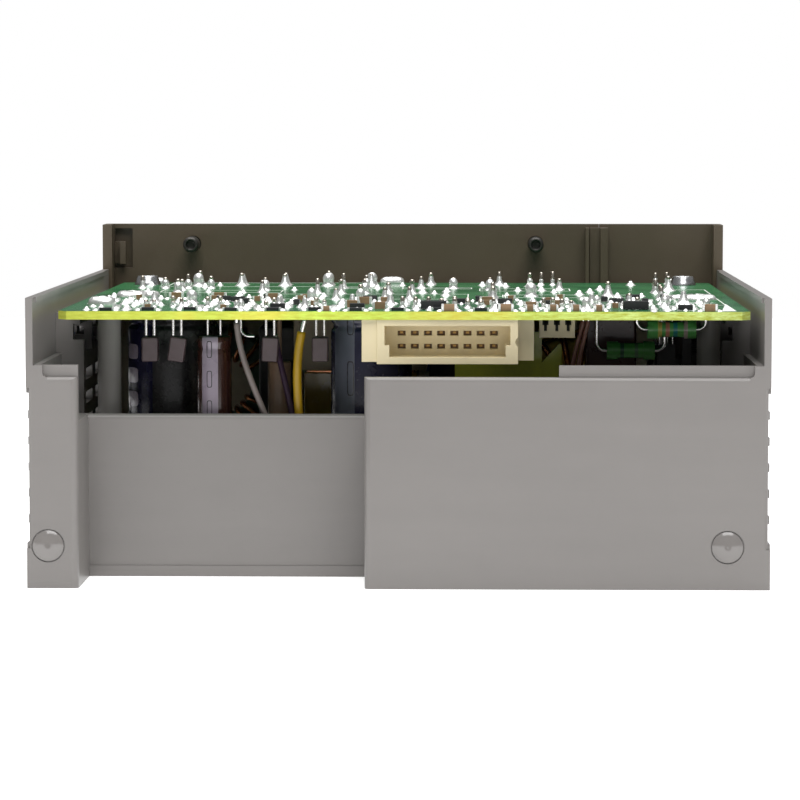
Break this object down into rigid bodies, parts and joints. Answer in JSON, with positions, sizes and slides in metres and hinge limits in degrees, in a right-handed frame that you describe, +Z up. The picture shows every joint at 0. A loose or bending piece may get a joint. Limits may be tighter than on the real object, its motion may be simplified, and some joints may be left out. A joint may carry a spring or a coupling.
{
  "type": "chassis power supply module",
  "caption": "Open-sided industrial power supply module with circuit board, rear connector, ribbed housing and hinged terminal door.",
  "frame": {"origin": "centre of the base of the bounding box, on the surface that the module's left side lies on", "axes": "+Z up through the open side, +X from the module's bottom end to its top end, +Y from the rear face to the front bezel"},
  "size_m": [0.14, 0.1458, 0.065],
  "materials": {
    "grey_housing": "fine satin moulding",
    "dark_bezel": "satin",
    "dark_door": "satin",
    "label_card": "matte card",
    "dark_steel": "black oxide",
    "bright_steel": "zinc plated",
    "led_body": "diffused green",
    "led_lens": "clear green",
    "barrier_paper": "insulating paper",
    "black_plastic": "matte",
    "plated_brass": "nickel plated",
    "fuse_glass": "clear",
    "nickel_cap": "nickel plated",
    "tin_clip": "tinned",
    "gold_pin": "gold flash",
    "red_jumper": "moulded",
    "board_green": "solder mask over glass fibre",
    "cream_plastic": "moulded",
    "contact_brass": "worn gold flash",
    "solder": "bright solder",
    "tinned_lead": "tinned copper",
    "chip_black": "epoxy",
    "chip_brown": "ceramic",
    "navy_sleeve": "heat-shrink sleeve",
    "brown_sleeve": "heat-shrink sleeve",
    "tan_sleeve": "heat-shrink sleeve",
    "ferrite_mauve": "pressed ferrite",
    "resistor_green": "lacquer",
    "film_red": "epoxy dip",
    "film_yellow": "moulded box",
    "disc_blue": "epoxy dip",
    "varistor_blue": "epoxy dip",
    "thermistor_black": "phenolic dip",
    "ferrite_black": "sintered ferrite",
    "bobbin_tan": "phenolic",
    "enamelled_copper": "enamelled wire",
    "tape_yellow": "polyester tape",
    "core_green": "coated ferrite",
    "core_yellow": "coated iron powder",
    "raw_aluminium": "mill finish",
    "board_olive": "solder mask",
    "wire_yellow": "insulation",
    "wire_grey": "insulation",
    "wire_purple": "insulation",
    "wire_brown": "insulation"
  },
  "bodies": {
    "chassis": {"housing_tray": "grey_housing", "rear_plugs": "grey_housing", "front_bezel": "dark_bezel", "upper_front_panel": "dark_bezel", "door_hinge_pin": "bright_steel", "power_led": "led_body", "power_led_lens": "led_lens", "insulating_barrier": "barrier_paper", "terminal_block": "black_plastic", "terminal_clamps": "plated_brass", "terminal_screws": "bright_steel", "fuse_tube": "fuse_glass", "fuse_caps": "nickel_cap", "fuse_clips": "tin_clip", "voltage_header": "black_plastic", "voltage_pins": "gold_pin", "voltage_jumper": "red_jumper", "main_board": "board_green", "board_screws": "bright_steel", "bus_connector": "cream_plastic", "bus_contacts": "contact_brass", "solder_joints": "solder", "lead_ends": "tinned_lead", "chip_resistors": "chip_black", "chip_capacitors": "chip_brown", "control_chips": "chip_black", "bulk_capacitors": "navy_sleeve", "brown_capacitor": "brown_sleeve", "rod_inductor": "tan_sleeve", "ferrite_beads": "ferrite_mauve", "component_leads": "tinned_lead", "axial_resistors": "resistor_green", "film_capacitor": "film_red", "suppression_capacitor": "film_yellow", "disc_capacitors": "disc_blue", "varistor": "varistor_blue", "thermistor": "thermistor_black", "transformer_core": "ferrite_black", "transformer_bobbin": "bobbin_tan", "transformer_winding": "enamelled_copper", "transformer_tape": "tape_yellow", "choke_core": "core_green", "choke_windings": "enamelled_copper", "output_inductor_core": "core_yellow", "output_inductor_winding": "enamelled_copper", "heatsink": "raw_aluminium", "power_transistors": "chip_black", "transistor_screws": "bright_steel", "bridge_rectifier": "chip_black", "control_board": "board_olive", "control_board_header": "cream_plastic", "control_board_parts": "chip_black", "yellow_wire": "wire_yellow", "grey_wire": "wire_grey", "purple_wire": "wire_purple", "brown_wires": "wire_brown"},
    "door": {"terminal_door": "dark_door", "door_label": "label_card"},
    "lower_screw": {"captive_screw_lower": "dark_steel"},
    "upper_screw": {"captive_screw_upper": "dark_steel"}
  },
  "joints": [
    {"name": "terminal_door_hinge", "type": "hinge", "parent": "chassis", "child": "door", "pos_m": [-0.0152, 0.07107, 0.0037], "axis": [-1, 0, 0], "range_deg": [0, 90]},
    {"name": "lower_captive_screw_turn", "type": "hinge", "parent": "chassis", "child": "lower_screw", "pos_m": [-0.05005, 0.07287, 0.0605], "axis": [0, 1, 0], "continuous": true},
    {"name": "upper_captive_screw_turn", "type": "hinge", "parent": "chassis", "child": "upper_screw", "pos_m": [0.0279, 0.07287, 0.0605], "axis": [0, 1, 0], "continuous": true}
  ]
}
